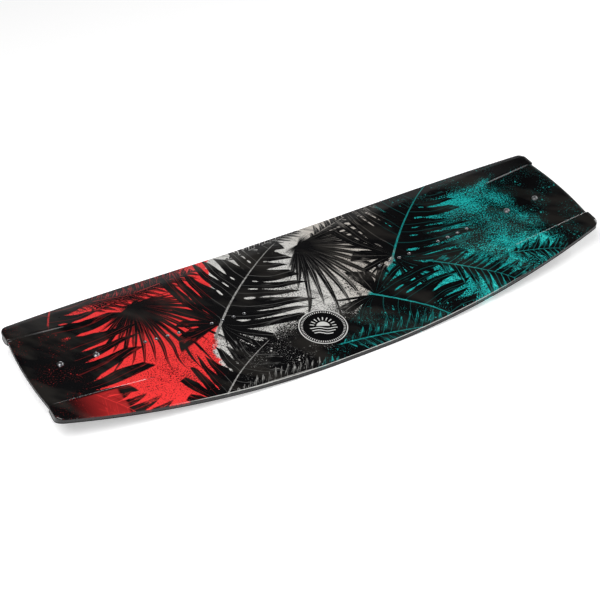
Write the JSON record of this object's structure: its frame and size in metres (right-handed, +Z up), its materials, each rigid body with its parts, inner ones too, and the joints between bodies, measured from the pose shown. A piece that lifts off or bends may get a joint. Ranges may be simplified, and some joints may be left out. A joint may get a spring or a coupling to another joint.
{
  "type": "wakeboard",
  "caption": "Twin-tip wakeboard with a rockered sandwich body, deck rails near the tips, rows of threaded binding inserts and a bolted centre fin under each tip.",
  "frame": {"origin": "on the flat middle of the base, halfway along and across the board", "axes": "+X along the board from tail to nose, +Y across it to the left edge, +Z up from the base to the deck"},
  "size_m": [1.312, 0.414, 0.0736],
  "materials": {
    "printed_top": "printed sheet under a clear gloss coat",
    "glass_fibre": "cured glass-fibre laminate",
    "foam": "rigid closed-cell foam",
    "stringer": "sawn wood",
    "edge_plastic": "satin black moulded edge",
    "base_plastic": "glossy base sheet",
    "plate_plastic": "moulded black plastic",
    "fin_plastic": "moulded glass-filled plastic",
    "stainless": "stainless steel",
    "brass": "turned brass"
  },
  "bodies": {
    "root": {"top_sheet": "printed_top", "upper_laminate": "glass_fibre", "foam_core": "foam", "stringer_left": "stringer", "stringer_right": "stringer", "lower_laminate": "glass_fibre", "base_sheet": "base_plastic", "sidewall_left": "edge_plastic", "sidewall_right": "edge_plastic", "tip_wall_nose": "edge_plastic", "tip_wall_tail": "edge_plastic", "insert_plate_nose": "plate_plastic", "insert_plate_tail": "plate_plastic", "binding_insert_nose_1": "stainless", "binding_insert_nose_2": "stainless", "binding_insert_nose_3": "stainless", "binding_insert_nose_4": "stainless", "binding_insert_nose_5": "stainless", "binding_insert_nose_6": "stainless", "binding_insert_nose_7": "stainless", "binding_insert_nose_8": "stainless", "binding_insert_tail_1": "stainless", "binding_insert_tail_2": "stainless", "binding_insert_tail_3": "stainless", "binding_insert_tail_4": "stainless", "binding_insert_tail_5": "stainless", "binding_insert_tail_6": "stainless", "binding_insert_tail_7": "stainless", "binding_insert_tail_8": "stainless", "centre_fin_nose": "fin_plastic", "centre_fin_tail": "fin_plastic", "fin_screw_nose_inner": "stainless", "fin_screw_nose_outer": "stainless", "fin_screw_tail_inner": "stainless", "fin_screw_tail_outer": "stainless", "fin_washer_nose_inner": "stainless", "fin_washer_nose_outer": "stainless", "fin_washer_tail_inner": "stainless", "fin_washer_tail_outer": "stainless", "fin_ferrule_nose_inner": "plate_plastic", "fin_ferrule_nose_outer": "plate_plastic", "fin_ferrule_tail_inner": "plate_plastic", "fin_ferrule_tail_outer": "plate_plastic", "fin_insert_nose_inner": "brass", "fin_insert_nose_outer": "brass", "fin_insert_tail_inner": "brass", "fin_insert_tail_outer": "brass"}
  },
  "joints": []
}
